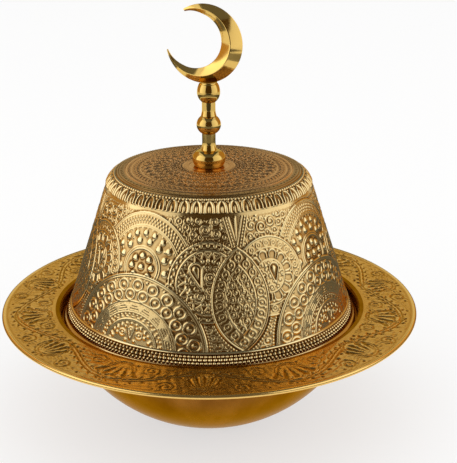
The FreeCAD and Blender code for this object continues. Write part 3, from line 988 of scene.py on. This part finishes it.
# Crescent: diamond sections with a crest on both faces, swept round the outer circle
crescent = dict(
    radius=12.7, belly=7.24, horn=0.46, opening=163.7, lowerTip=-169.2, upperTip=122.1, sideways=-1.38,
    centreHeight=127.3, turn=-16.0, crest=0.36, tipShare=0.55, tipTaper=0.12, sections=145, edgeRound=0.011,
    bow=0.012, facetSteps=(0.03, 0.075, 0.2, 0.35, 0.5, 0.65, 0.8, 0.925, 0.97))


# Section of the crescent, as shares of its width. Its corners are eased, and its faces bow to the front.
def crescentSection():
    corners = np.array([(0, 0), (0.5, crescent["crest"]), (1, 0), (0.5, -crescent["crest"])])
    ring = []
    for before, here, after in zip(np.roll(corners, 1, axis=0), corners, np.roll(corners, -1, axis=0)):
        ring.append(here + (before + after - 2 * here) * crescent["edgeRound"])
        across = np.array([after[1] - here[1], here[0] - after[0]])
        across = -across * np.sign(across[1])
        for step in crescent["facetSteps"]:
            ring.append(here + (after - here) * step + across * crescent["bow"] * sin(pi * step))
    return np.array(ring + ring[:1])


def crescentMoon():
    share = np.linspace(0, 1, crescent["sections"])
    angle = np.radians(crescent["lowerTip"] + share * (crescent["upperTip"] - crescent["lowerTip"]))
    away = angle - radians(crescent["opening"])
    innerRadius = crescent["radius"] - (crescent["belly"] + crescent["horn"]) / 2
    offset = (crescent["belly"] - crescent["horn"]) / 2
    innerEdge = offset * np.cos(away) + np.sqrt(innerRadius**2 - (offset * np.sin(away))**2)
    reach = np.minimum(1, np.minimum(share, 1 - share) / crescent["tipTaper"])
    taper = crescent["tipShare"] + (1 - crescent["tipShare"]) * np.sin(reach * pi / 2)
    width = (crescent["radius"] - innerEdge) * taper
    section = crescentSection()
    depth = crescent["radius"] - section[:, :1] * width
    side = section[:, 1:] * width
    flatX = depth * np.cos(angle) + crescent["sideways"]
    level = depth * np.sin(angle) + crescent["centreHeight"]
    turn = radians(crescent["turn"])
    points = np.stack([flatX * cos(turn) - side * sin(turn),
                       flatX * sin(turn) + side * cos(turn), level], axis=-1)
    piece = bentGrid("crescentMoon", points, (), False)
    settle(piece, "lid", "crescent", polishedGold)


crescentMoon()
print("crescent done")

for node in ("flat_washer", "lock_washer", "hex_nut"):
    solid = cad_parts[node]
    solid.data.materials.clear()
    solid.data.materials.append(fastenerSteel)
print("fasteners done")


# Studio: a pale floor, two lamps, and cards that only the metal sees, in metres.
# Cards: name, azimuth, distance, width, low, high, glow, fall of the glow across it, tint.
# Roofs: name, width, length, back, level, glow.
plainTint = (1, 1, 1, 1)
warmTint = (1.0, 0.6, 0.2, 1)
studio = dict(
    floorSize=6.0, floorColour=0.93, floorRough=0.9, floorWhite=0.6,
    lamp=dict(azimuth=52, distance=0.8, width=0.9, height=0.8, level=0.45, radiance=0.5),
    cards=[("leftBox", -63, 0.75, 0.92, -0.05, 0.95, 1.95, -0.5, plainTint),
           ("rightBox", 63, 0.75, 0.92, -0.05, 0.95, 1.55, 0.4, plainTint),
           ("leftSide", -124, 0.75, 0.8, 0, 0.8, 0.58, 0, warmTint),
           ("rightSide", 128, 0.75, 0.8, 0, 0.8, 0.58, 0, warmTint),
           ("frontGap", 0, 0.9, 1.3, 0, 1.6, 0.08, 0, warmTint),
           ("backWall", 180, 1.2, 2.8, 0.2, 1.4, 0.68, 0, plainTint),
           ("backFoot", 180, 1.1, 2.6, 0, 0.3, 0.14, 0, warmTint)],
    roofs=[("backRoof", 1.0, 1.5, 0.45, 1.0, 0.12), ("frontRoof", 1.0, 0.6, -0.6, 1.0, 0.15),
           ("frontApron", 0.56, 0.6, -0.55, 0.002, 0.07)],
    fence=dict(radius=0.16, height=0.058, sides=64, glow=0.34, fall=0.55))


def spotAt(azimuth, distance, level):
    turn = radians(azimuth)
    return (distance * sin(turn), -distance * cos(turn), level)


# Makes an object glow, and show only in the metal. The glow may fall by a share along one axis.
def shineOnly(piece, name, glow, tint, fall, axis, bright, dim):
    piece.name = name
    finish, tree, shader = newFinish(name)
    tree.nodes.remove(shader)
    colour = tint
    if fall:
        place = addNode(tree, "TexCoord", {})
        split = addNode(tree, "SeparateXYZ", {"Vector": place.outputs["Object"]})
        colour = spanOf(tree, split.outputs[axis], bright, dim, 1, 1 - abs(fall))
    shine = addNode(tree, "Emission", {"Color": colour, "Strength": glow})
    feed(tree, tree.nodes["Material Output"], {"Surface": shine.outputs["Emission"]})
    piece.data.materials.append(finish)
    piece.visible_camera = False
    piece.visible_diffuse = False
    piece.visible_shadow = False


def glowCard(name, width, height, glow, tint, fall):
    deselectAll()
    bpy.ops.mesh.primitive_plane_add(size=1)
    plane = bpy.context.object
    plane.scale = (width, height, 1)
    side = copysign(0.5, fall)
    shineOnly(plane, name, glow, tint, fall, "X", side, -side)
    return plane


# Seen directly or in the metal, the floor is well on the way to white and keeps a soft shadow
def studioFloor():
    deselectAll()
    bpy.ops.mesh.primitive_plane_add(size=studio["floorSize"], location=(0, 0, 0))
    floor = bpy.context.object
    floor.name = "floor"
    finish, tree, shader = newFinish("floorPaper")
    grey = studio["floorColour"]
    feed(tree, shader, {"Base Color": (grey, grey, grey, 1), "Roughness": studio["floorRough"]})
    path = addNode(tree, "LightPath", {}).outputs
    seen = mathOf(tree, "MAXIMUM", path["Is Camera Ray"], path["Is Glossy Ray"])
    shine = addNode(tree, "Emission", {})
    blend = addNode(tree, "MixShader", {
        "Fac": mathOf(tree, "MULTIPLY", seen, studio["floorWhite"]),
        1: shader.outputs["BSDF"], 2: shine.outputs["Emission"]})
    feed(tree, tree.nodes["Material Output"], {"Surface": blend.outputs["Shader"]})
    floor.data.materials.append(finish)


def studioLamps():
    spec = studio["lamp"]
    for name, azimuth in (("leftLamp", -spec["azimuth"]), ("rightLamp", spec["azimuth"])):
        data = bpy.data.lights.new(name, "AREA")
        data.shape = "RECTANGLE"
        data.size = spec["width"]
        data.size_y = spec["height"]
        data.energy = spec["radiance"] * pi * spec["width"] * spec["height"]
        lamp = bpy.data.objects.new(name, data)
        bpy.context.scene.collection.objects.link(lamp)
        lamp.location = spotAt(azimuth, spec["distance"], spec["level"])
        lamp.rotation_euler = (radians(90), 0, radians(azimuth))
        lamp.visible_glossy = False
    world = bpy.data.worlds.new("studioAir")
    bpy.context.scene.world = world
    world.use_nodes = True
    feed(world.node_tree, world.node_tree.nodes["Background"], {"Color": plainTint})


def studioCards():
    for name, azimuth, distance, width, low, high, glow, fall, tint in studio["cards"]:
        plane = glowCard(name, width, high - low, glow, tint, fall)
        plane.location = spotAt(azimuth, distance, (high + low) / 2)
        plane.rotation_euler = (radians(90), 0, radians(azimuth))
    for name, width, length, back, level, glow in studio["roofs"]:
        plane = glowCard(name, width, length, glow, plainTint, 0)
        plane.location = (0, back, level)
    fence = studio["fence"]
    radius = fence["radius"]
    deselectAll()
    bpy.ops.mesh.primitive_cylinder_add(
        vertices=fence["sides"], radius=radius, depth=fence["height"], end_fill_type="NOTHING",
        location=(0, 0, fence["height"] / 2))
    shineOnly(bpy.context.object, "fence", fence["glow"], plainTint, fence["fall"], "Y", -radius, 0)


bpy.context.scene.view_settings.view_transform = "Standard"
studioFloor()
studioLamps()
studioCards()

# Camera at the photograph's viewing angle
viewpoint = dict(place=(0, -359.63, 192.57), pitch=0.3428, yaw=0.0178, lens=88.54, clip=0.01)
cameraData = bpy.data.cameras.new("viewCamera")
cameraData.lens = viewpoint["lens"]
cameraData.clip_start = viewpoint["clip"]
camera = bpy.data.objects.new("viewCamera", cameraData)
bpy.context.scene.collection.objects.link(camera)
camera.location = [value * mm for value in viewpoint["place"]]
camera.rotation_euler = (pi / 2 - viewpoint["pitch"], 0, -viewpoint["yaw"])
bpy.context.scene.camera = camera
print("studio and camera ready")
